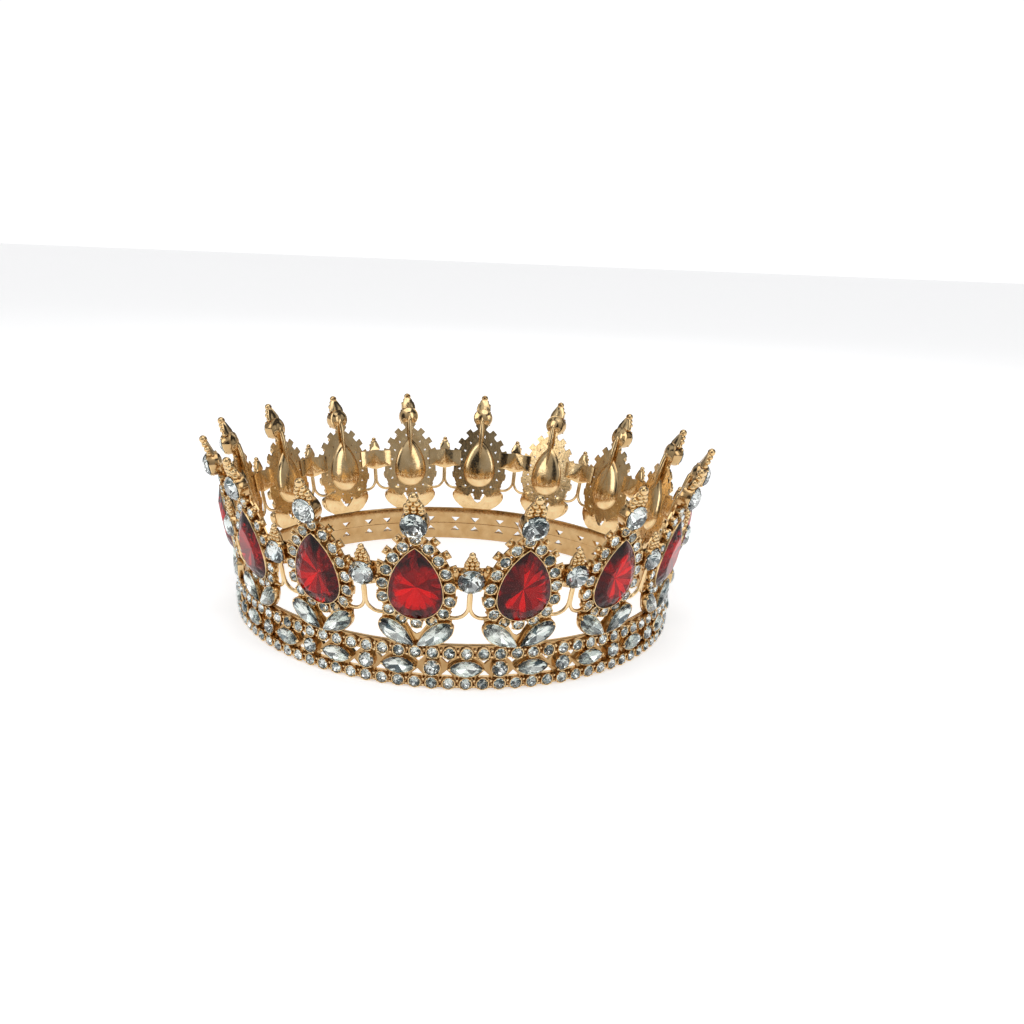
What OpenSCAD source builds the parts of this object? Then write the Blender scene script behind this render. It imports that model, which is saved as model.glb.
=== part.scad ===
// A closed, full-round rhinestone crown of gold-plated castings soldered to a pierced band.
// Z is up, the origin is at the centre of the band's lower edge, and the first spire faces -Y.

/* [Ring] */
// Number of spires round the ring
spires = 16; // [16]
// Inner radius of the band
band_r = 75; // [75:0.5:80]
// Height of the band
band_h = 14; // [13.6:0.1:15]
// Thickness of the band's sheet metal
band_t = 1.2; // [1:0.1:1.5]

/* [Band trim] */
// Small round stones per spire in each rail
rail_per_spire = 6; // [5:1:6]
// Outer radius of a rail stone's cup
rail_cup_r = 2.05; // [1.9:0.05:2.1]
// Radius of a rail stone
rail_stone_r = 1.6; // [1.4:0.05:1.65]
// Number of marquise stones round the band, with as many round ones between them
marquises = 24; // [20:1:24]
// Length over a band marquise's cup
marquise_len = 11; // [10:0.1:11.4]
// Width over a band marquise's cup
marquise_wid = 5.5; // [5.2:0.1:5.6]
// Outer radius of the cup of a round stone between two marquises
round_cup_r = 2.7; // [2.5:0.05:2.75]

/* [Spire] */
// Outward lean of the leaves from the vertical
leaf_lean = 2; // [0:0.5:4]
// Outward lean of the pear panels from the vertical
pear_lean = 12.5; // [8:0.5:14]
// Height above the band at which a panel bends from one lean to the other
bend_v = 8.5; // [8:0.1:9]
// Width of the pear-shaped stone
pear_w = 15.5; // [14.5:0.1:16]
// Height of the pear-shaped stone
pear_h = 23; // [22:0.5:24]
// Height of the pear stone's lowest point above the band
pear_v = 9; // [9:0.1:10]
// Number of small stones in the halo round a pear stone
halo_n = 16; // [15:1:16]
// Distance of the halo stones' centres outside the pear stone's edge
halo_out = 2.3; // [2.2:0.05:2.5]
// Outer radius of a halo stone's cup
halo_cup_r = 2.05; // [1.95:0.05:2.1]
// Radius of a halo stone
halo_stone_r = 1.42; // [1.2:0.02:1.5]
// Length over a leaf's cup
leaf_len = 13.2; // [12.5:0.1:13.6]
// Width over a leaf's cup
leaf_wid = 6.2; // [5.8:0.1:6.4]
// Slope of a leaf above the horizontal
leaf_angle = 38; // [35:1:42]

/* [Connector] */
// Height of the stone between two spires above the band
connector_v = 22.3; // [21.5:0.1:22.8]
// Outer radius of that stone's cup
connector_cup_r = 4; // [3.6:0.1:4.1]
// Thickness of the scroll wires
wire_d = 1.1; // [0.9:0.1:1.3]

/* [Finial] */
// Outward lean of a finial from the vertical
finial_lean = 28; // [25:1:34]
// Outer radius of the finial stone's cup
finial_cup_r = 4.1; // [3.9:0.1:4.5]
// Thickness of the tang that carries a finial
tang_d = 2; // [1.6:0.1:2.2]

/* [Hidden] */
gold = [0.84, 0.66, 0.32];
ruby = [0.78, 0.05, 0.09];
crystal = [0.86, 0.92, 0.93];

pitch = 360 / spires;
half = pitch / 2;
rail_n = rail_per_spire * spires;
rail_step = 360 / rail_n;
marquise_step = 360 / marquises;
rail_bead_r = 0.7;
rail_bead_h = 1.1;
rail_depth = 1.4;
edge = 0.4;
low_rail_z = rail_cup_r;
high_rail_z = band_h - rail_cup_r - edge;
trim_z = (low_rail_z + high_rail_z) / 2;
window_turn = 4.2;
window_wid = 3.6;
window_low = 1.1;
window_high = 2.6;
band_face = band_r + band_t;

sheet = 0.8;
wall = 0.45;
rim = 1.8;
gap = 0.05;
rail_stone_h = 1.3;
round_stone_h = 1.8;
halo_stone_h = 1.4;
connector_stone_h = 3;
finial_stone_h = 3.9;
girdle_h = 1.2;
crown_h = 1.9;

gallery_r = band_r + 0.5;
connector_lean = atan(tan(pear_lean) / cos(half));

// The pear outline is a circle of radius pear_a below and two arcs of radius pear_arc above.
pear_a = pear_w / 2;
pear_tip = pear_h - pear_a;
pear_arc = (pear_a * pear_a + pear_tip * pear_tip) / (2 * pear_a);
pear_shift = pear_arc - pear_a;
pear_mid_v = pear_v + pear_a;
pear_rim = 2.6;
flange = 0.9;

// The halo path is the same outline, halo_out further out.
halo_low_r = pear_a + halo_out;
halo_side_r = pear_arc + halo_out;
halo_low_len = halo_low_r * PI / 2;
halo_side_len = halo_side_r * acos(pear_shift / halo_side_r) * PI / 180;
halo_step = 2 * (halo_low_len + halo_side_len) / halo_n;
tooth_out = 1.3;
tooth_wid = 2.2;

leaf_foot_v = -0.9;
leaf_raise = 0.6;
scroll_r = 4.4;
scroll_v = 13.3;

finial_v = 36;
finial_mid = 5.2;
tang_foot_v = 25;
tang_taper = 0.96;
connector_depth = 2.4;
connector_bead_r = 1.15;
finial_depth = 2.6;
finial_bead_r = 1.08;
spike_sink = 0.5;
spike_raise = 0.4;

function pad(i) = i < 10 ? str("0", i) : str(i);
function numbered(name) = [for (i = [1:spires]) str(name, "_", pad(i))];

// Radius and height of a panel's back, v up the metal from the band.
function metal_r(v) = gallery_r + bend_v * sin(leaf_lean) + (v - bend_v) * sin(pear_lean);
function metal_z(v) = band_h + bend_v * cos(leaf_lean) + (v - bend_v) * cos(pear_lean);

// Where the halo's stone number k sits, as [across, up from the pear circle's centre, turn].
function halo_spot(k) =
    let (
        right = k * halo_step <= halo_low_len + halo_side_len,
        s = right ? k * halo_step : (halo_n - k) * halo_step,
        low = s < halo_low_len,
        turn = low ? s / halo_low_r * 180 / PI - 90 : (s - halo_low_len) / halo_side_r * 180 / PI,
        r = low ? halo_low_r : halo_side_r,
        u = r * cos(turn) - (low ? 0 : pear_shift),
        v = r * sin(turn)
    )
    abs(u) < 0.01 ? [0, v, v > 0 ? 90 : -90] : right ? [u, v, turn] : [-u, v, 180 - turn];

// ---- Places. Inside each, X runs along the ring, Y up the metal and Z outwards. ----

module on_band(turn, z) {
    rotate([0, 0, turn]) translate([0, -band_face, z]) rotate([90, 0, 0]) children();
}

module on_foot(i) {
    rotate([0, 0, i * pitch])
        translate([0, -gallery_r, band_h])
            rotate([90 + leaf_lean, 0, 0]) children();
}

module on_panel(i) {
    on_foot(i)
        translate([0, bend_v, 0])
            rotate([pear_lean - leaf_lean, 0, 0]) translate([0, -bend_v, 0]) children();
}

module on_connector(i) {
    rotate([0, 0, (i + 0.5) * pitch])
        translate([0, -metal_r(connector_v) / cos(half), metal_z(connector_v)])
            rotate([90 + connector_lean, 0, 0]) children();
}

module on_finial(i) {
    on_panel(i) translate([0, finial_v, 0]) rotate([finial_lean - pear_lean, 0, 0]) children();
}

module on_halo() {
    for (k = [0 : halo_n - 1]) {
        spot = halo_spot(k);
        translate([spot[0], pear_mid_v + spot[1], 0]) rotate([0, 0, spot[2]]) children();
    }
}

module on_leaves() {
    for (side = [0, 1])
        mirror([side, 0, 0])
            translate([0, leaf_foot_v, leaf_raise])
                rotate([0, 0, leaf_angle]) translate([leaf_len / 2, 0, 0]) children();
}

// ---- Outlines ----

// A lens of two arcs, pointed at both ends.
module lens(length, width) {
    r = (length * length + width * width) / (4 * width);
    intersection() {
        translate([0, r - width / 2]) circle(r, $fn = 64);
        translate([0, width / 2 - r]) circle(r, $fn = 64);
    }
}

// A lens with a blunt end on +X, a leaf's outer end: a small disc that covers the point.
module leaf(length, width) {
    blunt_r = 0.32 * width;
    lens(length, width);
    translate([length / 2 - 0.9 * blunt_r, 0]) circle(blunt_r, $fn = 32);
}

// The pear outline, grown by more on every side.
module pear(more) {
    circle(pear_a + more, $fn = 48);
    intersection() {
        translate([-pear_shift, 0]) circle(pear_arc + more, $fn = 96);
        translate([pear_shift, 0]) circle(pear_arc + more, $fn = 96);
        translate([-pear_w, 0]) square([2 * pear_w, 2 * pear_h]);
    }
}

// ---- Cups, stones and beads ----

module round_cup(r, depth) {
    difference() {
        cylinder(r = r, h = depth, $fn = 32);
        translate([0, 0, sheet]) cylinder(r = r - wall, h = depth, $fn = 32);
    }
}

module lens_cup(length, width) {
    difference() {
        linear_extrude(rim) lens(length, width);
        translate([0, 0, sheet]) linear_extrude(rim) lens(length - 2.5 * wall, width - 2 * wall);
    }
}

module leaf_cup() {
    difference() {
        linear_extrude(rim) leaf(leaf_len, leaf_wid);
        translate([0, 0, sheet]) linear_extrude(rim) leaf(leaf_len - 2.5 * wall, leaf_wid - 2 * wall);
    }
}

// A round stone with a bevelled crown, standing on its cup's floor.
module round_stone(r, height) {
    translate([0, 0, sheet])
        rotate_extrude($fn = 24)
            polygon([[0, 0], [0.8 * r, 0], [r, 0.4 * height], [0.6 * r, height], [0, height]]);
}

// A marquise or leaf stone: its outline, and a smaller one for the raised crown.
module pointed_stone() {
    translate([0, 0, sheet]) {
        linear_extrude(girdle_h) children(0);
        linear_extrude(crown_h) children(1);
    }
}

module marquise_stone() {
    length = marquise_len - 3 * wall;
    width = marquise_wid - 2 * (wall + gap);
    pointed_stone() {
        lens(length, width);
        lens(0.7 * length, 0.6 * width);
    }
}

module leaf_stone() {
    length = leaf_len - 3 * wall;
    width = leaf_wid - 2 * (wall + gap);
    pointed_stone() {
        leaf(length, width);
        leaf(0.7 * length, 0.6 * width);
    }
}

// Rows of beads, one fewer in each row up: a small pyramid that ends in a single bead.
module bead_pyramid(rows, bead_r) {
    step = 1.8 * bead_r;
    linear_extrude(sheet) polygon([[-rows * bead_r, 0], [rows * bead_r, 0], [0, rows * step]]);
    for (row = [0 : rows - 1])
        for (k = [0 : rows - row - 1])
            translate([(2 * k - (rows - row - 1)) * 0.95 * bead_r, (row + 0.5) * step, sheet])
                cylinder(r = bead_r, h = bead_r, $fn = 20);
}

// ---- Band ----

module band_windows() {
    for (k = [0 : marquises - 1], side = [-1, 1])
        on_band(half + k * marquise_step + side * window_turn, trim_z)
            for (flip = [0, 1])
                mirror([0, flip, 0])
                    translate([0, 0, -2 * band_t])
                        linear_extrude(3 * band_t)
                            polygon([
                                [-window_wid / 2, window_high],
                                [0, window_low],
                                [window_wid / 2, window_high],
                            ]);
}

module base_band() {
    color(gold) {
        difference() {
            rotate_extrude($fn = 192) translate([band_r, 0]) square([band_t, band_h]);
            band_windows();
        }
        for (k = [0 : marquises - 1]) {
            on_band(half + k * marquise_step, trim_z)
                translate([0, 0, -wall]) lens_cup(marquise_len, marquise_wid);
            on_band(half + (k + 0.5) * marquise_step, trim_z)
                translate([0, 0, -wall]) rotate([0, 0, 90]) round_cup(round_cup_r, rim);
        }
    }
}

module rail_settings(z) {
    color(gold) {
        for (k = [0 : rail_n - 1]) {
            on_band(k * rail_step, z) round_cup(rail_cup_r, rail_depth);
            on_band((k + 0.5) * rail_step, z) cylinder(r = rail_bead_r, h = rail_bead_h, $fn = 16);
        }
    }
}

module upper_rail_settings() {
    rail_settings(high_rail_z);
}

module lower_rail_settings() {
    rail_settings(low_rail_z);
}

module rail_stones(z) {
    color(crystal)
        for (k = [0 : rail_n - 1])
            on_band(k * rail_step, z) round_stone(rail_stone_r - gap, rail_stone_h);
}

module upper_rail_stones() {
    rail_stones(high_rail_z);
}

module lower_rail_stones() {
    rail_stones(low_rail_z);
}

module band_marquise_stones() {
    color(crystal)
        for (k = [0 : marquises - 1])
            on_band(half + k * marquise_step, trim_z)
                translate([0, 0, -wall]) marquise_stone();
}

module band_round_stones() {
    color(crystal)
        for (k = [0 : marquises - 1])
            on_band(half + (k + 0.5) * marquise_step, trim_z)
                translate([0, 0, -wall]) round_stone(round_cup_r - wall - gap, round_stone_h);
}

// ---- Spires ----

module pear_cup() {
    translate([0, pear_mid_v, 0])
        difference() {
            union() {
                linear_extrude(pear_rim) pear(wall + gap);
                linear_extrude(sheet) pear(flange);
            }
            translate([0, 0, sheet]) linear_extrude(pear_rim) pear(gap);
        }
}

// The halo's cups, each on a plate that reaches its neighbours' and ends in a blunt tooth.
module halo_cups() {
    halo_web = halo_step / 2 + gap;
    on_halo() {
        round_cup(halo_cup_r, rim);
        linear_extrude(sheet)
            polygon([
                [0, -halo_web],
                [halo_cup_r / 2, -halo_web],
                [halo_cup_r + tooth_out, -tooth_wid / 2],
                [halo_cup_r + tooth_out, tooth_wid / 2],
                [halo_cup_r / 2, halo_web],
                [0, halo_web],
            ]);
    }
}

module scrolls() {
    low_end = -110;
    sweep = 170;
    scroll_u = metal_r(scroll_v) * tan(half) - scroll_r - wire_d / 2;
    for (side = [0, 1])
        mirror([side, 0, 0])
            translate([scroll_u, scroll_v, wire_d / 2])
                rotate([0, 0, low_end])
                    rotate_extrude(angle = sweep, $fn = 64)
                        translate([scroll_r, 0]) circle(d = wire_d, $fn = 16);
}

// The tab that stands on the band's upper edge, where the spire is soldered on.
module foot() {
    linear_extrude(sheet) polygon([[-1.8, 0], [1.8, 0], [1.2, 1.8], [-1.2, 1.8]]);
}

module pear_panel(i) {
    color(gold) {
        on_foot(i) {
            foot();
            on_leaves() leaf_cup();
        }
        on_panel(i) {
            pear_cup();
            halo_cups();
            scrolls();
        }
    }
}

module pear_stone(i) {
    pear_girdle_h = 1.4;
    pear_crown_h = 3;
    color(ruby)
        on_panel(i)
            translate([0, pear_mid_v, sheet])
                hull() {
                    linear_extrude(pear_girdle_h) pear(0);
                    translate([0, 1, 0]) linear_extrude(pear_crown_h) scale(0.62) pear(0);
                }
}

module halo_stones() {
    color(crystal)
        for (i = [0 : spires - 1])
            on_panel(i) on_halo() round_stone(halo_stone_r, halo_stone_h);
}

module leaf_stones() {
    color(crystal)
        for (i = [0 : spires - 1])
            on_foot(i) on_leaves() leaf_stone();
}

// ---- Between the spires ----

module connectors() {
    wing_u = 6;
    wing_v = 2.8;
    color(gold)
        for (i = [0 : spires - 1])
            on_connector(i)
                translate([0, 0, -sheet]) {
                    round_cup(connector_cup_r, connector_depth);
                    translate([-wing_u, -wing_v, 0]) cube([2 * wing_u, 2 * wing_v, sheet]);
                    translate([0, connector_cup_r - spike_sink, spike_raise]) bead_pyramid(2, connector_bead_r);
                }
}

module connector_stones() {
    color(crystal)
        for (i = [0 : spires - 1])
            on_connector(i)
                translate([0, 0, -sheet]) round_stone(connector_cup_r - wall - gap, connector_stone_h);
}

// ---- Finials ----

module tang(i) {
    on_panel(i)
        translate([0, tang_foot_v, -tang_d / 2])
            rotate([-90, 0, 0]) cylinder(d = tang_d, h = finial_v - tang_foot_v, $fn = 20);
    on_finial(i)
        translate([0, -tang_d / 2, -tang_d / 2])
            rotate([-90, 0, 0]) cylinder(d = tang_taper * tang_d, h = finial_mid, $fn = 20);
}

module finial(i) {
    color(gold) {
        tang(i);
        on_finial(i)
            translate([0, finial_mid, -sheet]) {
                round_cup(finial_cup_r, finial_depth);
                translate([0, finial_cup_r - spike_sink, spike_raise]) bead_pyramid(3, finial_bead_r);
            }
    }
}

module finial_stones() {
    color(crystal)
        for (i = [0 : spires - 1])
            on_finial(i)
                translate([0, finial_mid, -sheet]) round_stone(finial_cup_r - wall - gap, finial_stone_h);
}

base_band();
upper_rail_settings();
lower_rail_settings();
upper_rail_stones();
lower_rail_stones();
band_marquise_stones();
band_round_stones();
connectors();
connector_stones();
leaf_stones();
halo_stones();
finial_stones();
for (i = [0 : spires - 1]) {
    pear_panel(i);
    pear_stone(i);
    finial(i);
}
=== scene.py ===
import random
from math import acos, atan, cos, pi, radians, sin, sqrt, tan

import bpy
from mathutils import Matrix, Vector


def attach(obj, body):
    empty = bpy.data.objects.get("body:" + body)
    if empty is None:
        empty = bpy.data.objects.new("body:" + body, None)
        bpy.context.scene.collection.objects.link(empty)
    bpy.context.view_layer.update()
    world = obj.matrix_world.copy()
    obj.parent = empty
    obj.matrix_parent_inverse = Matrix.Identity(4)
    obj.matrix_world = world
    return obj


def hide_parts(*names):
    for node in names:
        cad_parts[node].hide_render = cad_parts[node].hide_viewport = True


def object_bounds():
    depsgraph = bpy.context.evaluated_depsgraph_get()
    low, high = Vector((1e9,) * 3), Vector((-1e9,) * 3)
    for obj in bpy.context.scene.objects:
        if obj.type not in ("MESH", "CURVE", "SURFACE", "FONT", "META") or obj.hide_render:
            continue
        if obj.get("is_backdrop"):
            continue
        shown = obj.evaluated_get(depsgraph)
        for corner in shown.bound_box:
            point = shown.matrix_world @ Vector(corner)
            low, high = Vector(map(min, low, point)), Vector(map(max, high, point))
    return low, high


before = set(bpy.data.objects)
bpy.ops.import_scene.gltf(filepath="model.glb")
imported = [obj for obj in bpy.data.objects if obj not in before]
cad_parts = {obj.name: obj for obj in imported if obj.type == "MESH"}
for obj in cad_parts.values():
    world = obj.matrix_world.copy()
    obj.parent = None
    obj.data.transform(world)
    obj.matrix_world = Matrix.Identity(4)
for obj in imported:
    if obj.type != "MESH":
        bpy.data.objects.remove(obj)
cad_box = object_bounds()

# All sizes below are in millimetres, and MM turns them into Blender's metres.
MM = 0.001
RNG = random.Random(16)

# ---- Driving dimensions, the same as the CAD model's unless a comment says otherwise ----

# The ring: spires at equal turns. HALF is the turn from a spire to the connector beside it.
SPIRES = 16
PITCH = 2 * pi / SPIRES
HALF = PITCH / 2

# The band's sheet: inner radius, thickness, height and outer face.
BAND_R = 75.0
BAND_T = 1.2
BAND_H = 14.0
BAND_FACE = BAND_R + BAND_T

# The two rails of small round settings, at the band's lower and upper edges.
RAIL_N = 6 * SPIRES
RAIL_CUP_R = 2.05
RAIL_STONE_R = 1.68
LOW_RAIL_Z = RAIL_CUP_R
HIGH_RAIL_Z = BAND_H - RAIL_CUP_R - 0.4

# The row between the rails: marquise stones and round stones by turns.
TRIM_Z = (LOW_RAIL_Z + HIGH_RAIL_Z) / 2
MARQUISES = 24
MARQUISE_LEN = 11.0
MARQUISE_WID = 5.5
ROUND_CUP_R = 2.7

# The band's triangular windows: turn from the marquise's middle, half width, and reach from TRIM_Z.
WINDOW_TURN = radians(4.2)
WINDOW_HALF = 2.05
WINDOW_LOW = 1.0
WINDOW_HIGH = 3.0

# How the metal of a spire stands: V runs up it from the band's top edge, and it bends at BEND_V.
GALLERY_R = BAND_R + 0.5
LEAF_LEAN = radians(2)
PEAR_LEAN = radians(12.5)
FINIAL_LEAN = radians(28)
BEND_V = 8.5

# The pear stone, and the halo of cups round it.
PEAR_W = 15.5
PEAR_H = 23.0
PEAR_V = 9.0
HALO_N = 16
HALO_OUT = 2.3
HALO_CUP_R = 2.05
HALO_STONE_R = 1.6
TOOTH_OUT = 1.3

# The plate behind the halo, which only this model has. Reaches are from the pear's outline for its
# inside and windows, and from the cups' centres for its outside. The PLAIN_CUPS on each side of the
# lowest cup have no teeth.
PLATE_BACK = -0.12
PLATE_FRONT = 0.4
PLATE_INSIDE = -0.9
PLATE_HOLE_IN = 0.6
PLATE_HOLE_OUT = 1.7
VALLEY_OUT = 1.35
NOTCH_OUT = 0.1
LOW_TOOTH_OUT = 2.5
PLAIN_OUT = 1.9
PLAIN_CUPS = 3

# The leaf stones: they are set lower here than in the CAD, as the photograph shows them.
LEAF_LEN = 13.2
LEAF_WID = 6.2
LEAF_ANGLE = radians(34)
LEAF_FOOT_V = -0.5
LEAF_RAISE = 0.6

# Between the spires: the connector's cup and the two scroll wires under it.
CONNECTOR_V = 22.3
CONNECTOR_CUP_R = 4.0
SCROLL_R = 4.4
SCROLL_V = 13.3
WIRE_D = 1.15

# The finial. Its cup is tipped up and stands on a tang behind the pear.
FINIAL_V = 36.0
FINIAL_MID = 5.2
FINIAL_CUP_R = 4.1
CUP_TILT = radians(13)
CUP_DROP = 0.7
TANG_D = 2.0
TANG_FOOT_V = 25.0

# Sheet metal, and the cups' rims.
SHEET = 0.8
WALL = 0.45
RIM = 1.8
PEAR_RIM = 2.6
CUP_FLOOR = 0.12
LIP_ROUND = 0.25
LIP_DROP = 0.05

# How high a stone's girdle sits over the plate under it.
RAIL_SEAT = 1.25
TRIM_SEAT = 1.35
HALO_SEAT = 1.65
LEAF_SEAT = 1.9
CONNECTOR_SEAT = 1.9
PEAR_SEAT = 2.5
FINIAL_SEAT = 3.1

# The pear outline is two side arcs that meet at the tip and run into a half circle below.
PEAR_A = PEAR_W / 2
PEAR_TIP = PEAR_H - PEAR_A
PEAR_ARC = (PEAR_A ** 2 + PEAR_TIP ** 2) / (2 * PEAR_A)
PEAR_SHIFT = PEAR_ARC - PEAR_A
PEAR_MID_V = PEAR_V + PEAR_A
PEAR_HUB = (0.0, 2.2)


# ---- Places: X along the ring, Y up the metal, Z outwards, for the first spire ----

def metal_r(v):
    """The metal's distance from the crown's axis, v up a spire above its bend."""
    return GALLERY_R + BEND_V * sin(LEAF_LEAN) + (v - BEND_V) * sin(PEAR_LEAN)


def metal_z(v):
    """The metal's height there."""
    return BAND_H + BEND_V * cos(LEAF_LEAN) + (v - BEND_V) * cos(PEAR_LEAN)


def turned(angle):
    """A turn about the upright axis, or about a place's own outward axis."""
    return Matrix.Rotation(angle, 4, "Z")


def standing(r, z, lean):
    """A place on the front of a ring of radius r, leaning outwards."""
    return Matrix.Translation((0, -r, z)) @ Matrix.Rotation(pi / 2 + lean, 4, "X")


ON_FOOT = standing(GALLERY_R, BAND_H, LEAF_LEAN)
ON_PANEL = standing(metal_r(0), metal_z(0), PEAR_LEAN)
ON_FINIAL = standing(metal_r(FINIAL_V), metal_z(FINIAL_V), FINIAL_LEAN)
ON_FINIAL_CUP = (ON_FINIAL @ Matrix.Translation((0, FINIAL_MID - CUP_DROP, 0))
                 @ Matrix.Rotation(-CUP_TILT, 4, "X"))
CONNECTOR_LEAN = atan(tan(PEAR_LEAN) / cos(HALF))
CONNECTOR_AT_R = metal_r(CONNECTOR_V) / cos(HALF)
ON_CONNECTOR = turned(HALF) @ standing(CONNECTOR_AT_R, metal_z(CONNECTOR_V), CONNECTOR_LEAN)


def on_band(angle, z):
    """A place on the band's outer face."""
    return turned(angle) @ standing(BAND_FACE, z, 0)


def at(x, y, z=0.0, turn=0.0):
    """A shift within a place, with a turn about its outward axis."""
    return Matrix.Translation((x, y, z)) @ turned(turn)


MIRRORED = Matrix.Scale(-1, 4, (1, 0, 0))


# ---- A mesh being built: each face has a material number and a painted light value, from 0, dark, to 1, bright: painted shade on the gold, painted reflections on the stones' facets ----

GOLD, GEM, FOIL = 0, 0, 1
# Painted light values for the gold: painted shade, darkest in cup insides and under beads, lighter on walls
# and fronts, and none on open faces.
DEEP_SHADE = 0.1
SHADE = 0.38
HALF_SHADE = 0.5
OPEN = 0.8


class Shape:
    def __init__(self):
        self.verts, self.faces, self.mats, self.painted_lights = [], [], [], []

    def add(self, part, place=None):
        """Adds another shape, moved to its place."""
        first = len(self.verts)
        flip = place is not None and place.determinant() < 0
        self.verts += [place @ v for v in part.verts] if place is not None else part.verts
        for f in part.faces:
            f = [first + k for k in f]
            self.faces.append(f[::-1] if flip else f)
        self.mats += part.mats
        self.painted_lights += part.painted_lights
        return self

    def point(self, x, y, z):
        """Adds one vertex, and gives its number."""
        self.verts.append(Vector((x, y, z)))
        return len(self.verts) - 1

    def face(self, ids, mat, painted_light):
        self.faces.append(list(ids))
        self.mats.append(mat)
        self.painted_lights.append(painted_light)

    def ring(self, points, z):
        """Adds an outline at a height, and gives its vertices' numbers."""
        return [self.point(x, y, z) for x, y in points]

    def bridge(self, low, high, mat, painted_light):
        """Joins two rings of one length with quads."""
        n = len(low)
        for k in range(n):
            self.face((low[k], low[(k + 1) % n], high[(k + 1) % n], high[k]), mat, painted_light)

    def fan(self, ring, hub, mat, painted_light):
        """Closes a ring with triangles to a middle point."""
        for k in range(len(ring)):
            self.face((ring[k], ring[(k + 1) % len(ring)], hub), mat, painted_light)


def build(name, shape, materials, replaced, smooth_below=40.0):
    """Makes the Blender object of a shape. smooth_below 0 leaves every facet flat."""
    mesh = bpy.data.meshes.new(name)
    mesh.from_pydata([v * MM for v in shape.verts], [], shape.faces)
    for material in materials:
        mesh.materials.append(material)
    mesh.polygons.foreach_set("material_index", shape.mats)
    painted_light = mesh.attributes.new("painted_light", "FLOAT", "FACE")
    painted_light.data.foreach_set("value", shape.painted_lights)
    mesh.validate()
    mesh.update()
    if smooth_below:
        mesh.polygons.foreach_set("use_smooth", [True] * len(mesh.polygons))
        mesh.set_sharp_from_angle(angle=radians(smooth_below))
    return show(name, mesh, replaced)


def show(name, mesh, replaced, turn=0.0):
    """Puts a mesh in the scene, riding on the crown's one body."""
    piece = bpy.data.objects.new(name, mesh)
    bpy.context.scene.collection.objects.link(piece)
    piece.rotation_euler.z = turn
    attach(piece, "root")
    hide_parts(replaced)
    return piece


# ---- Outlines, as lists of (x, y), counter-clockwise ----

def circle(r, n=24, start=0.0):
    return [(r * cos(start + 2 * pi * k / n), r * sin(start + 2 * pi * k / n)) for k in range(n)]


def marquise(inset=0.0, n=24):
    """A pointed oval of two arcs with its tips on X, inset all round."""
    length = MARQUISE_LEN - 2.6 * inset
    width = MARQUISE_WID - 2 * inset
    r = (length ** 2 + width ** 2) / (4 * width)
    upper = []
    for k in range(n):
        x = length / 2 * cos(pi * k / n)
        upper.append((x, sqrt(r * r - x * x) - r + width / 2))
    return upper + [(-x, -y) for x, y in upper]


def leaf(inset=0.0, n=24):
    """A leaf: pointed at its foot on -X, and rounded at its outer end on +X."""
    foot = -LEAF_LEN / 2 + 1.6 * inset
    end = LEAF_LEN / 2 - inset
    mid = foot + 0.6 * (end - foot)
    upper = []
    for k in range(n + 1):
        t = pi * k / n
        x = mid + (end - mid) * cos(t) if t < pi / 2 else mid + (mid - foot) * cos(t)
        swell = sin(t) if t < pi / 2 else sin(pi / 2 * (x - foot) / (mid - foot))
        upper.append((x, (LEAF_WID / 2 - inset) * swell))
    return upper[:n] + [(upper[n][0], 0.0)] + [(x, -y) for x, y in upper[n - 1:0:-1]]


def pear(grow=0.0, n=48):
    """The pear outline round its circle's centre, spaced evenly, starting at the lowest point."""
    low_r, side_r = PEAR_A + grow, PEAR_ARC + grow
    low_len = low_r * pi / 2
    side_len = side_r * acos(PEAR_SHIFT / side_r)
    right = []
    for k in range(n // 2 + 1):
        s = (low_len + side_len) * k / (n // 2)
        if s < low_len:
            a = s / low_r - pi / 2
            right.append((low_r * cos(a), low_r * sin(a), a))
        else:
            a = (s - low_len) / side_r
            right.append((side_r * cos(a) - PEAR_SHIFT, side_r * sin(a), a))
    left = [(-x, y, pi - a) for x, y, a in right[-2:0:-1]]
    tip = right[n // 2]
    right[n // 2] = (0.0, tip[1], pi / 2)
    right[0] = (0.0, right[0][1], -pi / 2)
    return right + left


def pear_xy(grow=0.0, n=48):
    """The pear outline without its directions."""
    return [(x, y) for x, y, a in pear(grow, n)]


def scaled(outline, k, about=(0.0, 0.0)):
    """An outline made k times as large about a point."""
    return [(about[0] + (x - about[0]) * k, about[1] + (y - about[1]) * k) for x, y in outline]


# ---- Metal work ----

def stack(rings):
    """Joins outlines of one length, each with its height and painted light value, into a closed body."""
    s = Shape()
    ids = [s.ring(outline, z) for outline, z, _ in rings]
    for k in range(len(ids) - 1):
        s.bridge(ids[k], ids[k + 1], GOLD, rings[k + 1][2])
    for ring, (outline, z, painted_light) in ((ids[0][::-1], rings[0]), (ids[-1], rings[-1])):
        x, y = [sum(c) / len(outline) for c in zip(*outline)]
        s.fan(ring, s.point(x, y, z), GOLD, painted_light)
    return s


def bead(r, tall=1.0, rows=4, cols=8):
    """A cast bead: a ball, tall times as high as it is wide, with a painted shadow on its foot."""
    s = Shape()
    top = s.point(0, 0, r * tall)
    rings = [s.ring(circle(r * sin(pi * k / rows), cols), r * tall * cos(pi * k / rows))
             for k in range(1, rows)]
    bottom = s.point(0, 0, -r * tall)
    s.fan(rings[0], top, GOLD, OPEN)
    for low, high in zip(rings[1:], rings[:-1]):
        s.bridge(low, high, GOLD, OPEN)
    s.fan(rings[-1][::-1], bottom, GOLD, DEEP_SHADE)
    return s


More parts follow.
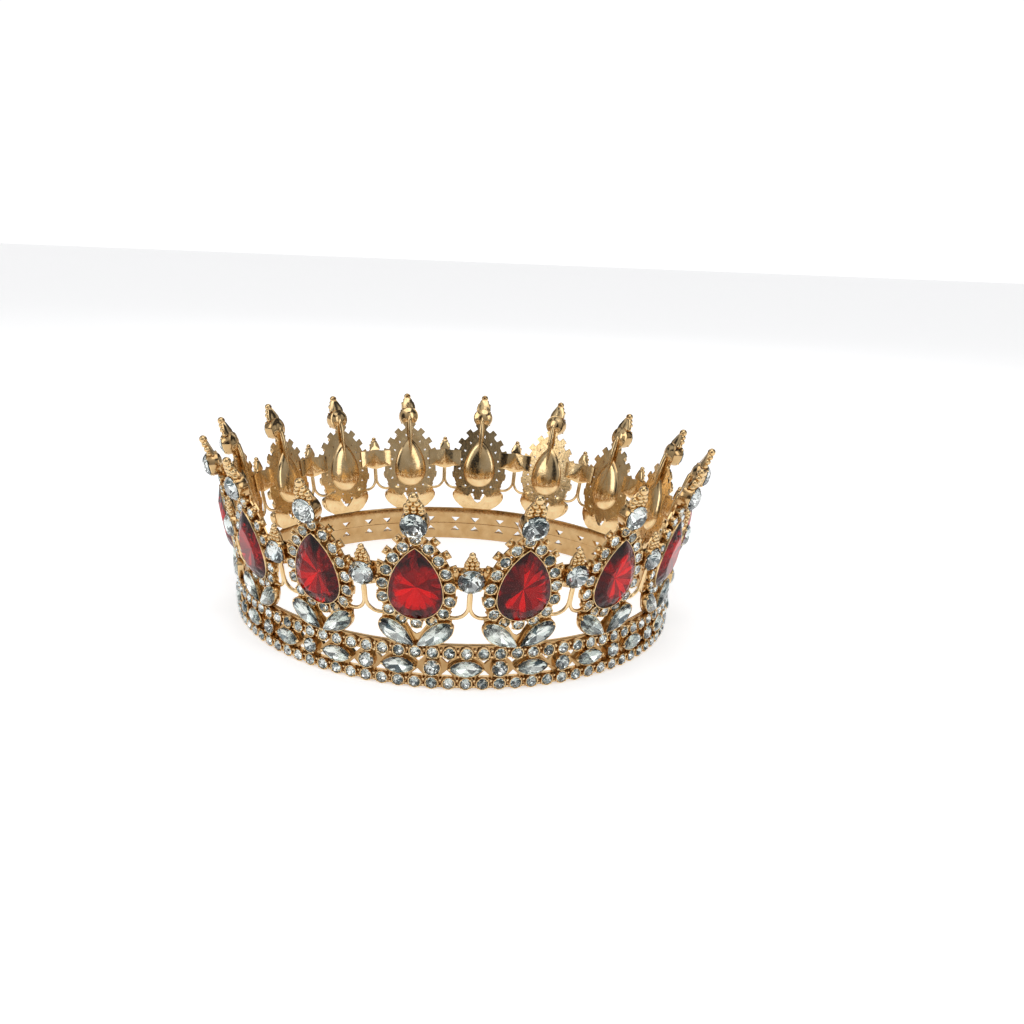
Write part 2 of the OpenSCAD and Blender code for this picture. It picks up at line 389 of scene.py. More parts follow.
def tube(path, r, n=10, neck=1):
    """A wire along a path of points, with narrowed ends. It swells over its first neck points."""
    s = Shape()
    rings = []
    last = len(path) - 1
    for k, p in enumerate(path):
        along = (path[min(k + 1, last)] - path[max(k - 1, 0)]).normalized()
        side = along.cross(Vector((0, 0, 1)))
        side = side.normalized() if side.length > 0.01 else Vector((1, 0, 0))
        up = side.cross(along)
        thin = 0.5 if k == last else min(1.0, 0.5 + 0.5 * k / neck)
        spokes = [side * cos(2 * pi * j / n) + up * sin(2 * pi * j / n) for j in range(n)]
        rings.append([s.point(*(p + spoke * r * thin)) for spoke in spokes])
    for low, high in zip(rings[:-1], rings[1:]):
        s.bridge(low, high, GOLD, OPEN)
    s.fan(rings[0][::-1], s.point(*path[0]), GOLD, OPEN)
    s.fan(rings[-1], s.point(*path[-1]), GOLD, OPEN)
    return s


def cup(r, depth, n=20, lip=0.3, dome=0.05):
    """A round cup for a stone: domed back, wall and rolled lip, with painted shade on the wall and deeper
    painted shade inside.
    """
    return stack([
        (circle(r * 0.3, n), -dome, OPEN),
        (circle(r * 0.6, n), -0.7 * dome, OPEN),
        (circle(r * 0.82, n), 0.0, OPEN),
        (circle(r * 0.97, n), 0.1, OPEN),
        (circle(r, n), 0.35, SHADE),
        (circle(r, n), depth - LIP_ROUND, SHADE),
        (circle(r - 0.08, n), depth, OPEN),
        (circle(r - lip, n), depth - LIP_DROP, OPEN),
        (circle(r - lip, n), CUP_FLOOR, DEEP_SHADE),
    ])


def pointed_cup(outline, depth=RIM, back=0.0):
    """A cup for a pointed stone, with its back bulging by back, painted shade on its wall and deeper
    painted shade inside. outline(t) is t narrower all round.
    """
    lip = 0.32
    return stack([
        (scaled(outline(0), 0.35), -back, OPEN),
        (scaled(outline(0), 0.7), -0.75 * back, OPEN),
        (scaled(outline(0), 0.94), 0.0, OPEN),
        (outline(0), 0.3, OPEN),
        (outline(0), depth - LIP_ROUND, 0.55),
        (outline(0.1), depth, OPEN),
        (outline(lip), depth - LIP_DROP, OPEN),
        (outline(lip), CUP_FLOOR, DEEP_SHADE),
    ])


def claws(r, z, size):
    """The four rounded claws that hold a round stone."""
    s = Shape()
    for x, y in circle(r, 4, pi / 4):
        s.add(bead(size, 1.25), at(x, y, z))
    return s


def plate(outline, low, high, bevel=0.12):
    """A flat plate with softened edges, and painted shade on its front and sides."""
    small = 1 - 2 * bevel / max(abs(c) for point in outline for c in point)
    return stack([(scaled(outline, small), low, OPEN), (outline, low + bevel, OPEN),
                  (outline, high - bevel, SHADE), (scaled(outline, small), high, SHADE)])


def halo_plate():
    """The flat plate behind the halo: blunt teeth outside, and small windows beside the pear."""
    steps = 8
    middle = steps // 2
    cols = HALO_N * steps
    base = pear(HALO_OUT, cols)

    def outwards(reach):
        return [(x + reach(k) * cos(a), y + reach(k) * sin(a)) for k, (x, y, a) in enumerate(base)]

    def valley(k):
        """The edge between two cups, drawn in beside the lowest cup."""
        beside_lowest = abs(min(k, cols - k) - middle) <= 1
        return NOTCH_OUT if beside_lowest else VALLEY_OUT

    def tip(k):
        """The edge outside a cup: a short tooth on the lowest one, and none on the plain ones."""
        from_lowest = min(k, cols - k)
        if from_lowest < middle:
            return LOW_TOOTH_OUT
        return HALO_CUP_R + TOOTH_OUT if from_lowest > PLAIN_CUPS * steps + 2 else PLAIN_OUT

    rows = [pear_xy(PLATE_INSIDE, cols), pear_xy(PLATE_HOLE_IN, cols), pear_xy(PLATE_HOLE_OUT, cols),
            outwards(valley), outwards(tip)]
    window_row = 1
    tooth_row = len(rows) - 2
    s = Shape()
    back = [s.ring(row, PLATE_BACK) for row in rows]
    front = [s.ring(row, PLATE_FRONT) for row in rows]
    faces = []
    for k in range(cols):
        after = (k + 1) % cols
        spot = k % steps
        under_tooth = min(spot, steps - 1 - spot) < 2
        for j in range(len(rows) - 1):
            cell = [(j, k), (j, after), (j + 1, after), (j + 1, k)]
            if j == window_row and spot == middle - 1:
                faces.append([cell[0], cell[2], cell[3]])
            elif j == window_row and spot == middle:
                faces.append(cell[1:])
            elif j < tooth_row or under_tooth:
                faces.append(cell)
    used = set()
    # Painted shade on the plate's front and its sides; the back is left unshaded.
    for f in faces:
        s.face([back[j][k] for j, k in f], GOLD, OPEN)
        s.face([front[j][k] for j, k in f[::-1]], GOLD, SHADE)
        used.update(zip(f, f[1:] + f[:1]))
    for (j, k), (after_j, after_k) in sorted(used):
        if ((after_j, after_k), (j, k)) not in used:
            side = [back[after_j][after_k], back[j][k], front[j][k], front[after_j][after_k]]
            s.face(side, GOLD, HALF_SHADE)
    return s


def heart():
    """The heart-shaped sheet behind two leaf stones, as its two halves, with a notch at the top."""
    outside = [(0, -0.5), (5.4, -0.4), (8.0, 1.2), (9.7, 3.4),
               (10.5, 5.8), (10.4, 7.8), (9.4, 9.3), (7.6, 10.0)]
    notch = [(6.0, 10.0), (4.6, 8.9), (3.5, 7.0), (2.3, 5.0), (1.1, 3.3), (0, 2.7)]
    right = plate(outside + notch, 0.0, LEAF_RAISE, 0.06)
    return Shape().add(right).add(right, MIRRORED)


def bead_tower(widths, bead_r, step, top_r):
    """A small cast spike: a smooth tapering back, rows of beads on it, and a bigger bead on top."""
    s = Shape()
    tall = len(widths) * step
    low = widths[0] * bead_r
    high = widths[-1] * 0.8 * bead_r
    back = [(-low, 0), (low, 0), (0.96 * low, 0.3 * tall), (high, 0.85 * tall), (0.8 * top_r, tall),
            (-0.8 * top_r, tall), (-high, 0.85 * tall), (-0.96 * low, 0.3 * tall)]
    s.add(plate(back, -0.5, 0.55, 0.25))
    for row, count in enumerate(widths):
        for k in range(count):
            x = (2 * k - (count - 1)) * 0.94 * bead_r
            s.add(bead(bead_r, 1.1, 6, 12), at(x, (row + 0.5) * step, 0.75))
    s.add(bead(top_r, 0.9, 7, 14), at(0, tall + 0.5 * top_r, 0.45))
    return s


# ---- Faceted stones ----

def gem(outline, table, crown, girdle, pavilion, seat, about=(0.0, 0.0)):
    """A brilliant-cut stone with its girdle at height seat. outline has 4 points per crown kite.
    table is a share of the outline; crown, girdle and pavilion are heights. Crown facets are glass,
    and pavilion facets are foil."""
    s = Shape()
    n = len(outline) // 2
    crown_from = girdle / 2
    top = s.ring(outline, crown_from)
    low = s.ring(outline, -crown_from)
    s.bridge(low, top, GEM, HALF_SHADE)

    def half_ring(k, z, odd):
        picked = [outline[(2 * j + odd) % (2 * n)] for j in range(n)]
        return s.ring(scaled(picked, k, about), z)

    mid = half_ring(0.5 + table / 2, crown_from + 0.62 * crown, 1)
    flat = half_ring(table, crown_from + crown, 0)
    # Painted highlight: the table takes the brightest painted light value.
    s.face(flat, GEM, 1.0)
    deep = half_ring(0.52, -crown_from - 0.5 * pavilion, 1)
    culet = s.point(about[0], about[1], -crown_from - pavilion)
    # Painted reflections: each crown and pavilion facet gets a random painted light value, which makes it
    # lighter or darker.
    for k in range(n):
        after = (k + 1) % n
        g0, g1, g2 = 2 * k, 2 * k + 1, (2 * k + 2) % (2 * n)
        for facet in ((flat[k], mid[k], flat[after]), (top[g0], mid[k], flat[k], mid[k - 1]),
                      (top[g0], top[g1], mid[k]), (top[g1], top[g2], mid[k])):
            s.face(facet, GEM, RNG.random())
        for facet in ((low[g1], low[g0], deep[k]), (low[g2], low[g1], deep[k]),
                      (deep[k], low[g0], deep[k - 1], culet)):
            s.face(facet, FOIL, RNG.random())
    for v in s.verts:
        v.z += seat
    return s


def round_gem(r, seat, facets=8, deepest=1.0):
    """A round stone turned by chance. deepest limits its pavilion to its cup's depth."""
    start = RNG.random() * pi
    outline = circle(r, 2 * facets, start)
    pavilion = min(0.75 * r, deepest)
    return gem(outline, table=0.56, crown=0.36 * r, girdle=0.06 * r, pavilion=pavilion, seat=seat)


def pointed_gem(outline, seat):
    """A marquise or a leaf stone."""
    return gem(outline, table=0.55, crown=1.0, girdle=0.1, pavilion=1.1, seat=seat)


def pear_gem():
    """The red stone, as its cup's outline drawn in a little."""
    outline = pear_xy(0.22, 32)
    return gem(outline, table=0.6, crown=1.7, girdle=0.2, pavilion=2.2, seat=PEAR_SEAT, about=PEAR_HUB)


# ---- The pieces ----

def band_sheet():
    """The band's sheet: two rows of triangular windows, rounded edges and a ridge inside."""
    # Painted shade: darkest on the outer face between the stones, a little less inside and on the edges.
    outside_painted_shade, inside_painted_shade, edge_painted_shade = 0.25, 0.33, 0.45
    half_window = WINDOW_HALF / BAND_FACE
    cell = 2 * pi / MARQUISES
    beyond = (cell / 2 - WINDOW_TURN) / 1.6
    turns = [0.0, cell / 2]
    for side in (-1, 1):
        window = side * WINDOW_TURN
        turns += [window / 2, window - half_window, window, window + half_window, window + side * beyond]
    turns.sort()
    window_middles = [turns.index(side * WINDOW_TURN) for side in (-1, 1)]

    edge = [(0.0, 0.3), (0.12, 0.08), (0.35, 0.0)]  # height from the edge, and how far both faces draw in
    ridge_half, ridge_in = 0.3, 0.1
    rows = [(z, BAND_R + inset, BAND_FACE - inset) for z, inset in edge]
    rows += [(TRIM_Z - z, BAND_R, BAND_FACE) for z in (WINDOW_HIGH, WINDOW_LOW, ridge_half)]
    rows += [(TRIM_Z, BAND_R - ridge_in, BAND_FACE)]
    rows += [(TRIM_Z + z, BAND_R, BAND_FACE) for z in (ridge_half, WINDOW_LOW, WINDOW_HIGH)]
    rows += [(BAND_H - z, BAND_R + inset, BAND_FACE - inset) for z, inset in edge[::-1]]
    low_window = len(edge)
    high_window = low_window + 5

    s = Shape()
    cols = [HALF + cell * k + t for k in range(MARQUISES) for t in turns]
    inner, outer = {}, {}
    for c, angle in enumerate(cols):
        for r, (z, r_in, r_out) in enumerate(rows):
            inner[c, r] = s.point(r_in * sin(angle), -r_in * cos(angle), z)
            outer[c, r] = s.point(r_out * sin(angle), -r_out * cos(angle), z)
    faces = []
    for c in range(len(cols)):
        here = c % len(turns)
        after = (c + 1) % len(cols)
        before_middle = here + 1 in window_middles
        after_middle = here in window_middles
        for r in range(len(rows) - 1):
            a0, a1, b1, b0 = (c, r), (after, r), (after, r + 1), (c, r + 1)
            if r == high_window and before_middle:
                faces.append((a0, a1, b0))
            elif r == high_window and after_middle:
                faces.append((a0, a1, b1))
            elif r == low_window and before_middle:
                faces.append((a0, b1, b0))
            elif r == low_window and after_middle:
                faces.append((a1, b1, b0))
            else:
                faces.append((a0, a1, b1, b0))
    used = {}
    for f in faces:
        s.face([outer[p] for p in f], GOLD, outside_painted_shade)
        s.face([inner[p] for p in f][::-1], GOLD, inside_painted_shade)
        for edge_of_face in zip(f, f[1:] + f[:1]):
            used[edge_of_face] = True
    for p, q in used:
        if (q, p) not in used:
            s.face((outer[q], outer[p], inner[p], inner[q]), GOLD, edge_painted_shade)
    return s


def band_casting():
    """The band's sheet with its marquise cups and round cups."""
    s = band_sheet()
    marquise_cup = pointed_cup(marquise)
    round_cup = cup(ROUND_CUP_R, RIM)
    round_claws = claws(ROUND_CUP_R - 0.2, 1.4, 0.45)
    sunk = at(0, 0, -WALL)
    cell = 2 * pi / MARQUISES
    for k in range(MARQUISES):
        marquise_place = on_band(HALF + cell * k, TRIM_Z)
        round_place = on_band(HALF + cell * k + cell / 2, TRIM_Z)
        s.add(marquise_cup, marquise_place @ sunk)
        for side in (-1, 1):
            s.add(bead(0.55), marquise_place @ at(side * (MARQUISE_LEN / 2 - 0.5), 0, TRIM_SEAT))
        s.add(round_cup, round_place @ sunk)
        s.add(round_claws, round_place)
    return s


def rail_casting(z):
    """One rail: a ring of small cups with claws, and two beads between every two cups."""
    s = Shape()
    step = 2 * pi / RAIL_N
    steps = 2 * RAIL_N
    sunk, proud = BAND_FACE - 0.05, BAND_FACE + 0.2
    section = [(sunk, -0.5), (proud, -0.35), (proud, 0.35), (sunk, 0.5)]
    rings = [[s.point(r * sin(a), -r * cos(a), z + h) for r, h in section]
             for a in (2 * pi * k / steps for k in range(steps))]
    # Painted deep shade on the strip behind the cups.
    for k in range(steps):
        s.bridge(rings[k], rings[(k + 1) % steps], GOLD, DEEP_SHADE)
    setting = cup(RAIL_CUP_R, 1.35, 14)
    setting.add(claws(RAIL_CUP_R - 0.2, RAIL_SEAT, 0.36))
    for k in range(RAIL_N):
        s.add(setting, on_band(k * step, z))
        for side in (-1, 1):
            s.add(bead(0.5), on_band((k + 0.5) * step, z) @ at(0, side * 0.95, 0.75))
    return s


def rail_gems(z):
    s = Shape()
    for k in range(RAIL_N):
        s.add(round_gem(RAIL_STONE_R, RAIL_SEAT, 6), on_band(k * 2 * pi / RAIL_N, z))
    return s


def leaf_places():
    """Both leaves of a spire: their middles, with X along the leaf."""
    for side in (Matrix.Identity(4), MIRRORED):
        yield ON_FOOT @ side @ at(0, LEAF_FOOT_V, LEAF_RAISE, LEAF_ANGLE) @ at(LEAF_LEN / 2, 0)


def halo_places():
    """The middles of a spire's halo cups, with X away from the pear."""
    for x, y, a in pear(HALO_OUT, HALO_N):
        yield ON_PANEL @ at(x, PEAR_MID_V + y, 0, a)


def pear_cup():
    """The pear stone's bezel, with a domed back, painted shade on its wall and deeper painted shade inside.
    """
    def outline(grow):
        return pear_xy(grow, 64)

    dome = outline(-0.85)
    rings = [(scaled(dome, share, PEAR_HUB), z, OPEN)
             for share, z in ((0.3, -1.75), (0.55, -1.55), (0.8, -1.15), (0.95, -0.6))]
    rings += [
        (dome, -0.1, SHADE),
        (outline(0.4), -0.05, OPEN),
        (outline(0.5), 0.15, SHADE),
        (outline(0.5), PEAR_RIM - LIP_ROUND, SHADE),
        (outline(0.42), PEAR_RIM, OPEN),
        (outline(0.26), PEAR_RIM + 0.02, OPEN),
        (outline(0.24), PEAR_RIM - 0.4, OPEN),
        (outline(0.24), 0.1, DEEP_SHADE),
    ]
    return stack(rings)


def scroll():
    """A wire from the halo's lower side, round to the half plane, and up to the connector."""
    pressed = 0.4  # how far two neighbours' wires run into each other
    edge = metal_r(SCROLL_V) * tan(HALF) - WIRE_D / 2 + pressed
    u = edge - SCROLL_R
    path = [Vector((u + SCROLL_R * cos(radians(d)), SCROLL_V + SCROLL_R * sin(radians(d)), WIRE_D / 2))
            for d in range(-116, 1, 9)]
    rise = CONNECTOR_V - CONNECTOR_CUP_R - SCROLL_V + 0.8
    drift = sin(PEAR_LEAN) * tan(HALF)
    path += [Vector((edge + drift * h, SCROLL_V + h, WIRE_D / 2)) for h in (0.25 * rise, 0.6 * rise, rise)]
    return tube(path, WIRE_D / 2)


def spire_casting():
    """One spire: heart, two leaf cups, the pear's cup, its halo of settings and two scrolls."""
    s = Shape()
    s.add(heart(), ON_FOOT)
    leaf_cup = pointed_cup(leaf, LEAF_SEAT, 0.1)
    for x in (-1, 1):
        leaf_cup.add(bead(0.5, 1.2), at(x * (LEAF_LEN / 2 - 0.5), 0, 1.75))
    for place in leaf_places():
        s.add(leaf_cup, place)
    s.add(pear_cup(), ON_PANEL @ at(0, PEAR_MID_V))
    setting = cup(HALO_CUP_R - 0.05, RIM, 16)
    setting.add(claws(HALO_CUP_R - 0.25, HALO_SEAT, 0.38))
    tooth = bead(0.8, 0.8, 5, 10)
    s.add(halo_plate(), ON_PANEL @ at(0, PEAR_MID_V))
    for k, place in enumerate(halo_places()):
        s.add(setting, place)
        if min(k, HALO_N - k) > PLAIN_CUPS:
            s.add(tooth, place @ at(HALO_CUP_R + TOOTH_OUT - 0.8, 0, 0.55))
    for side in (Matrix.Identity(4), MIRRORED):
        s.add(scroll(), ON_PANEL @ side)
    return s


def halo_gems():
    s = Shape()
    for place in halo_places():
        s.add(round_gem(HALO_STONE_R, HALO_SEAT, 6, deepest=1.2), place)
    return s


def leaf_gems():
    s = Shape()
    for place in leaf_places():
        s.add(pointed_gem(leaf(0.2, 8), LEAF_SEAT), place)
    return s


def connector_casting():
    """The plate, cup and bead tower between two spires."""
    s = Shape()
    wing = [(-7.2, -3.4), (-4.6, -3.7), (-2.4, -4.5), (0.1, -5.0), (0.1, 3.5), (-3.0, 3.2), (-7.2, 3.2)]
    reach = metal_r(CONNECTOR_V) * tan(HALF)
    half = plate(wing, -0.6, -0.13, 0.06)
    s.add(half, ON_PANEL @ at(reach, CONNECTOR_V))
    s.add(half, turned(PITCH) @ ON_PANEL @ MIRRORED @ at(reach, CONNECTOR_V))
    s.add(cup(CONNECTOR_CUP_R, 2.0, 24, 0.22), ON_CONNECTOR @ at(0, 0, -0.4))
    s.add(claws(CONNECTOR_CUP_R - 0.2, 1.5, 0.5), ON_CONNECTOR)
    tower = bead_tower((3, 3, 2), bead_r=0.76, step=1.3, top_r=1.0)
    s.add(tower, ON_CONNECTOR @ at(0, CONNECTOR_CUP_R - 0.5, -0.2))
    return s


def finial_casting():
    """A finial: cup, bead tower and the tang that carries it."""
    s = Shape()
    s.add(cup(FINIAL_CUP_R, 3.6, 28, 0.22, 0.9), ON_FINIAL_CUP @ at(0, 0, -SHEET))
    s.add(claws(FINIAL_CUP_R - 0.15, 2.75, 0.45), ON_FINIAL_CUP)
    tower = bead_tower((3, 3, 2), bead_r=1.04, step=1.65, top_r=1.5)
    s.add(tower, ON_FINIAL @ at(0, FINIAL_MID + FINIAL_CUP_R - 1.4, -0.2))
    r = TANG_D / 2
    bend = ON_PANEL.inverted() @ ON_FINIAL
    foot = TANG_FOOT_V - 3
    rise = (FINIAL_V - 1 - foot) / 5
    path = [Vector((0, foot + k * rise, -1.25 + (1.25 - r) * min(1, k / 3))) for k in range(6)]
    path += [bend @ Vector((0, 0.5 + k * (FINIAL_MID - 1.5) / 3, -r - SHEET * 0.5 * k / 3))
             for k in range(4)]
    s.add(tube(path, r, 12, neck=4), ON_PANEL)
    return s


# ---- Materials ----

def material(name):
    """A new node material, with its nodes, links and main shader."""
    m = bpy.data.materials.new(name)
    m.use_nodes = True
    nodes, links = m.node_tree.nodes, m.node_tree.links
    return m, nodes, links, nodes["Principled BSDF"]


def ramp(nodes, stops):
    """A colour ramp from a list of positions with their colours."""
    node = nodes.new("ShaderNodeValToRGB")
    points = node.color_ramp.elements
    while len(points) < len(stops):
        points.new(0.5)
    for point, (position, colour) in zip(points, stops):
        point.position = position
        point.color = (*colour, 1)
    return node


def painted_light_of(nodes):
    """The painted light value that each face carries: painted shade on the gold, painted reflections on the
    stones.
    """
    node = nodes.new("ShaderNodeAttribute")
    node.attribute_name = "painted_light"
    return node


def noise_of(nodes, links, per_mm, detail=3.0):
    """Noise fixed to the object, with about per_mm patches to the millimetre."""
    where = nodes.new("ShaderNodeTexCoord")
    node = nodes.new("ShaderNodeTexNoise")
    node.inputs["Scale"].default_value = per_mm / MM
    node.inputs["Detail"].default_value = detail
    links.new(where.outputs["Object"], node.inputs["Vector"])
    return node


def gold_plate():
    """Polished gold plating: painted shade that turns it brown in the recesses, on the faces between the
    stones and inside the cups, uneven colour, small casting marks.
    """
    m, nodes, links, shader = material("gold_plate")
    shader.inputs["Metallic"].default_value = 1.0
    cloud = noise_of(nodes, links, 0.25)
    patches = ramp(nodes, [(0.3, (0.70, 0.47, 0.22)), (0.7, (0.84, 0.63, 0.35))])
    links.new(cloud.outputs["Fac"], patches.inputs["Fac"])
    # Painted shade: each face's painted light value darkens and browns the gold, and leaves it as it is
    # from 0.8 up.
    depth = ramp(nodes, [(0.0, (0.25, 0.14, 0.06)), (0.45, (0.85, 0.80, 0.74)), (0.8, (1.0, 1.0, 1.0))])
    links.new(painted_light_of(nodes).outputs["Fac"], depth.inputs["Fac"])
    mix = nodes.new("ShaderNodeMix")
    mix.data_type = "RGBA"
    mix.blend_type = "MULTIPLY"
    mix.inputs[0].default_value = 1.0
    links.new(patches.outputs["Color"], mix.inputs[6])
    links.new(depth.outputs["Color"], mix.inputs[7])
    links.new(mix.outputs[2], shader.inputs["Base Color"])
    fine = noise_of(nodes, links, 1.1, 5.0)
    polish = ramp(nodes, [(0.3, (0.07,) * 3), (0.75, (0.24,) * 3)])
    links.new(fine.outputs["Fac"], polish.inputs["Fac"])
    links.new(polish.outputs["Color"], shader.inputs["Roughness"])
    bump = nodes.new("ShaderNodeBump")
    bump.inputs["Strength"].default_value = 0.25
    bump.inputs["Distance"].default_value = 0.08 * MM
    links.new(fine.outputs["Fac"], bump.inputs["Height"])
    links.new(bump.outputs["Normal"], shader.inputs["Normal"])
    return m


def glass(name, dark, bright, ior=1.56):
    """The clear crown of a stone, each facet made lighter or darker by its painted light value, as a
    painted reflection.
    """
    m, nodes, links, shader = material(name)
    shader.inputs["Transmission Weight"].default_value = 1.0
    shader.inputs["Roughness"].default_value = 0.015
    shader.inputs["IOR"].default_value = ior
    shades = ramp(nodes, [(0.0, dark), (1.0, bright)])
    links.new(painted_light_of(nodes).outputs["Fac"], shades.inputs["Fac"])
    links.new(shades.outputs["Color"], shader.inputs["Base Color"])
    return m


def foil(name, stops, roughness):
    """The mirror foil behind a stone's lower facets, each facet coloured from dark to bright by its painted
    light value, as a painted reflection.
    """
    m, nodes, links, shader = material(name)
    shader.inputs["Metallic"].default_value = 1.0
    shader.inputs["Roughness"].default_value = roughness
    shades = ramp(nodes, stops)
    links.new(painted_light_of(nodes).outputs["Fac"], shades.inputs["Fac"])
    links.new(shades.outputs["Color"], shader.inputs["Base Color"])
    return m


gold = gold_plate()
# Painted reflections: the foils run from near black to white, and the red stone from dark to bright red, by
# each facet's painted light value.
clear = [
    glass("clear_glass", (0.90, 0.95, 0.96), (0.99, 1.0, 1.0)),
    foil("silver_foil", [(0.0, (0.02, 0.035, 0.04)), (0.14, (0.16, 0.21, 0.22)), (0.26, (0.66, 0.70, 0.68)),
                         (1.0, (0.98, 0.98, 0.95))], 0.08),
]
pale = [
    clear[0],
    foil("pale_foil", [(0.0, (0.03, 0.05, 0.06)), (0.12, (0.14, 0.19, 0.20)), (0.22, (0.70, 0.75, 0.71)),
                       (1.0, (0.98, 1.0, 0.94))], 0.17),
]
red = [
    glass("ruby_glass", (0.62, 0.025, 0.045), (0.92, 0.06, 0.08), 1.36),
    foil("red_foil", [(0.0, (0.13, 0.003, 0.012)), (0.5, (0.33, 0.010, 0.020)),
                      (1.0, (0.72, 0.02, 0.03))], 0.12),
]

build("band_casting", band_casting(), [gold], "base_band")
for level, z in (("upper", HIGH_RAIL_Z), ("lower", LOW_RAIL_Z)):
    build(f"{level}_rail_casting", rail_casting(z), [gold], f"{level}_rail_settings")
    build(f"{level}_rail_gems", rail_gems(z), clear, f"{level}_rail_stones", 0)

marquise_set, round_set = Shape(), Shape()
for k in range(MARQUISES):
    spot = HALF + k * 2 * pi / MARQUISES
    marquise_set.add(pointed_gem(marquise(0.18, 8), TRIM_SEAT), on_band(spot, TRIM_Z))
    round_stone = round_gem(ROUND_CUP_R - 0.28, TRIM_SEAT, deepest=1.2)
    round_set.add(round_stone, on_band(spot + pi / MARQUISES, TRIM_Z))
build("band_marquise_gems", marquise_set, pale, "band_marquise_stones", 0)
build("band_round_gems", round_set, clear, "band_round_stones", 0)

connector_set, halo_set, leaf_set, finial_set, centre_set = (Shape() for _ in range(5))
for k in range(SPIRES):
    turn = turned(k * PITCH)
    connector_set.add(connector_casting(), turn)
    centre_set.add(round_gem(CONNECTOR_CUP_R - 0.2, CONNECTOR_SEAT, deepest=1.7), turn @ ON_CONNECTOR)
    halo_set.add(halo_gems(), turn)
    leaf_set.add(leaf_gems(), turn)
    finial_set.add(round_gem(FINIAL_CUP_R - 0.2, FINIAL_SEAT, deepest=2.9), turn @ ON_FINIAL_CUP)
build("connector_castings", connector_set, [gold], "connectors")
build("connector_gems", centre_set, clear, "connector_stones", 0)
build("halo_gems", halo_set, clear, "halo_stones", 0)
build("leaf_gems", leaf_set, pale, "leaf_stones", 0)
build("finial_gems", finial_set, clear, "finial_stones", 0)

casting = build("spire_casting_01", spire_casting(), [gold], "pear_panel_01")
finial = build("finial_casting_01", finial_casting(), [gold], "finial_01")
for k in range(SPIRES):
    number = f"{k + 1:02d}"
    if k:
        show(f"spire_casting_{number}", casting.data, f"pear_panel_{number}", k * PITCH)
        show(f"finial_casting_{number}", finial.data, f"finial_{number}", k * PITCH)
    stone = Shape().add(pear_gem(), turned(k * PITCH) @ ON_PANEL @ at(0, PEAR_MID_V))
    build(f"pear_gem_{number}", stone, red, f"pear_stone_{number}", 0)


# ---- Stage, light and camera ----

def stage_floor():
    """A plain pale floor that glows a little, so that it stays white round the crown."""
    m, nodes, links, shader = material("white_floor")
    shader.inputs["Roughness"].default_value = 0.9
    cloud = noise_of(nodes, links, 0.02)
    shades = ramp(nodes, [(0.0, (0.90, 0.90, 0.90)), (1.0, (0.93, 0.93, 0.93))])
    links.new(cloud.outputs["Fac"], shades.inputs["Fac"])
    links.new(shades.outputs["Color"], shader.inputs["Base Color"])
    shader.inputs["Emission Color"].default_value = (1, 1, 1, 1)
    shader.inputs["Emission Strength"].default_value = 0.52
    half = 6.0
    corners = [(-half, -half, 0), (half, -half, 0), (half, half, 0), (-half, half, 0)]
    mesh = bpy.data.meshes.new("floor")
    mesh.from_pydata(corners, [], [(0, 1, 2, 3)])
    mesh.materials.append(m)
    floor = bpy.data.objects.new("floor", mesh)
    bpy.context.scene.collection.objects.link(floor)
    floor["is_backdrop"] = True


def softbox(name, where, size, watts):
    """A soft area light, in metres, aimed at the crown's middle."""
    crown_middle = Vector((0, 0, 0.03))
    light = bpy.data.lights.new(name, "AREA")
    light.shape = "RECTANGLE"
    light.size, light.size_y = size
    light.energy = watts
    lamp = bpy.data.objects.new(name, light)
    lamp.location = where
    lamp.rotation_euler = (crown_middle - Vector(where)).to_track_quat("-Z", "Y").to_euler()
    bpy.context.scene.collection.objects.link(lamp)


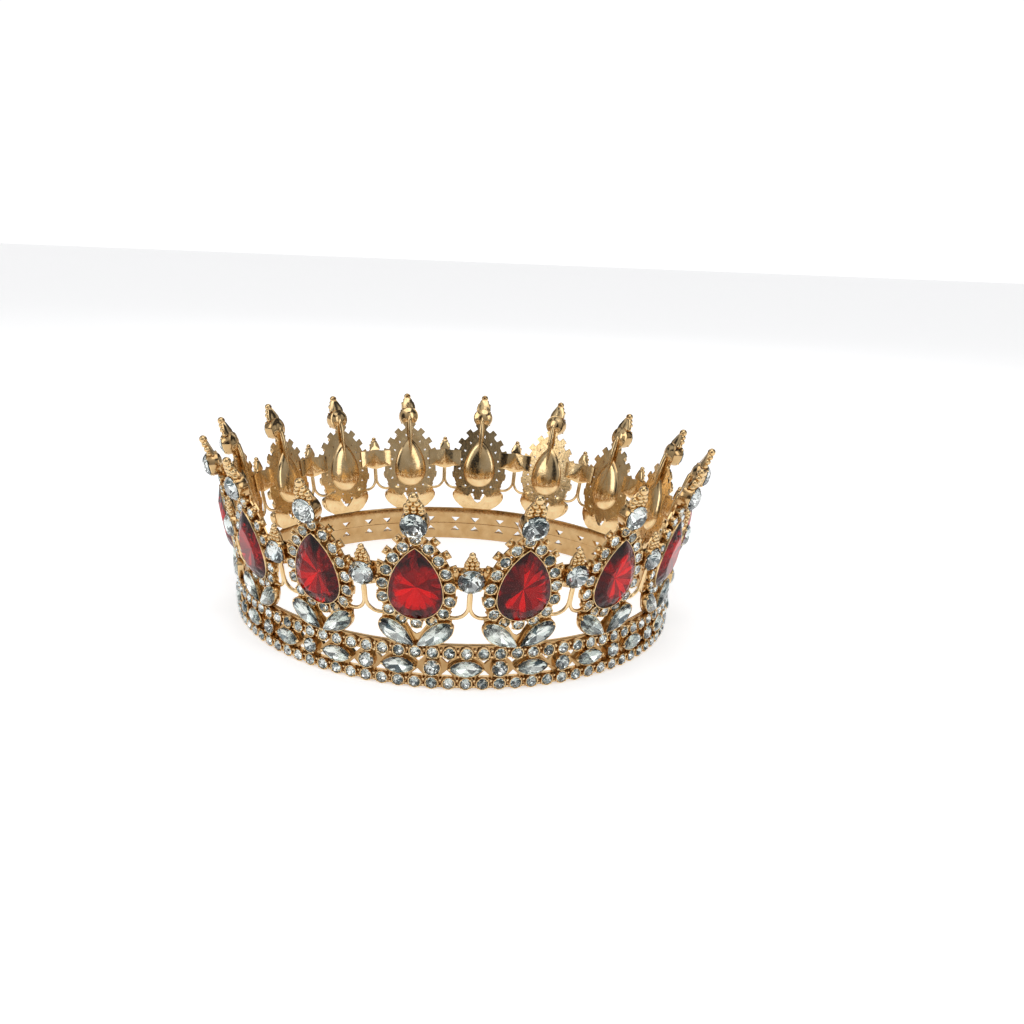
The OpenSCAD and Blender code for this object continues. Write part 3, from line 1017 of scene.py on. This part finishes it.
def studio_world():
    """White where the camera looks; softer and darker towards the horizon for reflections."""
    world = bpy.data.worlds.new("studio")
    bpy.context.scene.world = world
    world.use_nodes = True
    nodes, links = world.node_tree.nodes, world.node_tree.links
    out = nodes["World Output"]
    seen = nodes["Background"]
    seen.inputs["Color"].default_value = (1, 1, 1, 1)
    seen.inputs["Strength"].default_value = 1.05
    where = nodes.new("ShaderNodeTexCoord")
    split = nodes.new("ShaderNodeSeparateXYZ")
    links.new(where.outputs["Generated"], split.inputs["Vector"])
    height = ramp(nodes, [(0.0, (0.34, 0.34, 0.35)), (0.4, (0.55, 0.55, 0.56)), (0.75, (0.85, 0.86, 0.88)),
                          (1.0, (1.0, 1.0, 1.0))])
    links.new(split.outputs["Z"], height.inputs["Fac"])
    cloth = nodes.new("ShaderNodeTexNoise")
    cloth.inputs["Scale"].default_value = 2.3
    cloth.inputs["Detail"].default_value = 0.5
    links.new(where.outputs["Generated"], cloth.inputs["Vector"])
    flags = ramp(nodes, [(0.43, (0.07, 0.07, 0.08)), (0.50, (1.0, 1.0, 1.0))])
    links.new(cloth.outputs["Fac"], flags.inputs["Fac"])
    shaded = nodes.new("ShaderNodeMix")
    shaded.data_type = "RGBA"
    shaded.blend_type = "MULTIPLY"
    shaded.inputs[0].default_value = 1.0
    links.new(height.outputs["Color"], shaded.inputs[6])
    links.new(flags.outputs["Color"], shaded.inputs[7])
    felt = nodes.new("ShaderNodeBackground")
    felt.inputs["Strength"].default_value = 0.76
    links.new(shaded.outputs[2], felt.inputs["Color"])
    path = nodes.new("ShaderNodeLightPath")
    mix = nodes.new("ShaderNodeMixShader")
    links.new(path.outputs["Is Camera Ray"], mix.inputs["Fac"])
    links.new(felt.outputs["Background"], mix.inputs[1])
    links.new(seen.outputs["Background"], mix.inputs[2])
    links.new(mix.outputs["Shader"], out.inputs["Surface"])


def camera():
    """The photograph's camera, found by fitting the spires and the band's edges."""
    place = Vector((44.0, -338.7, 128.8)) * MM
    yaw, pitch, roll = radians(8.2), radians(14.6), radians(2.1)
    data = bpy.data.cameras.new("camera")
    data.lens = 34.2
    data.sensor_width = 36
    data.shift_x = 0.068
    data.shift_y = -0.018
    data.clip_start = 0.01
    cam = bpy.data.objects.new("camera", data)
    cam.matrix_world = (Matrix.Translation(place) @ turned(yaw)
                        @ Matrix.Rotation(pi / 2 - pitch, 4, "X") @ turned(roll))
    bpy.context.scene.collection.objects.link(cam)
    bpy.context.scene.camera = cam


stage_floor()
studio_world()
softbox("top_box", (0.1, -0.2, 0.9), (0.7, 0.7), 1.8)
softbox("left_box", (-0.8, -0.5, 0.5), (0.4, 0.6), 1.3)
softbox("right_box", (0.8, -0.6, 0.45), (0.35, 0.6), 1.05)
softbox("back_box", (0.0, 0.9, 0.6), (0.9, 0.4), 0.9)
camera()
bpy.context.scene.view_settings.view_transform = "Standard"

visual_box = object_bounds()
boxes = {"cad": cad_box, "visual": visual_box}
sizes = {name: [[float(x) for x in corner] for corner in box] for name, box in boxes.items()}
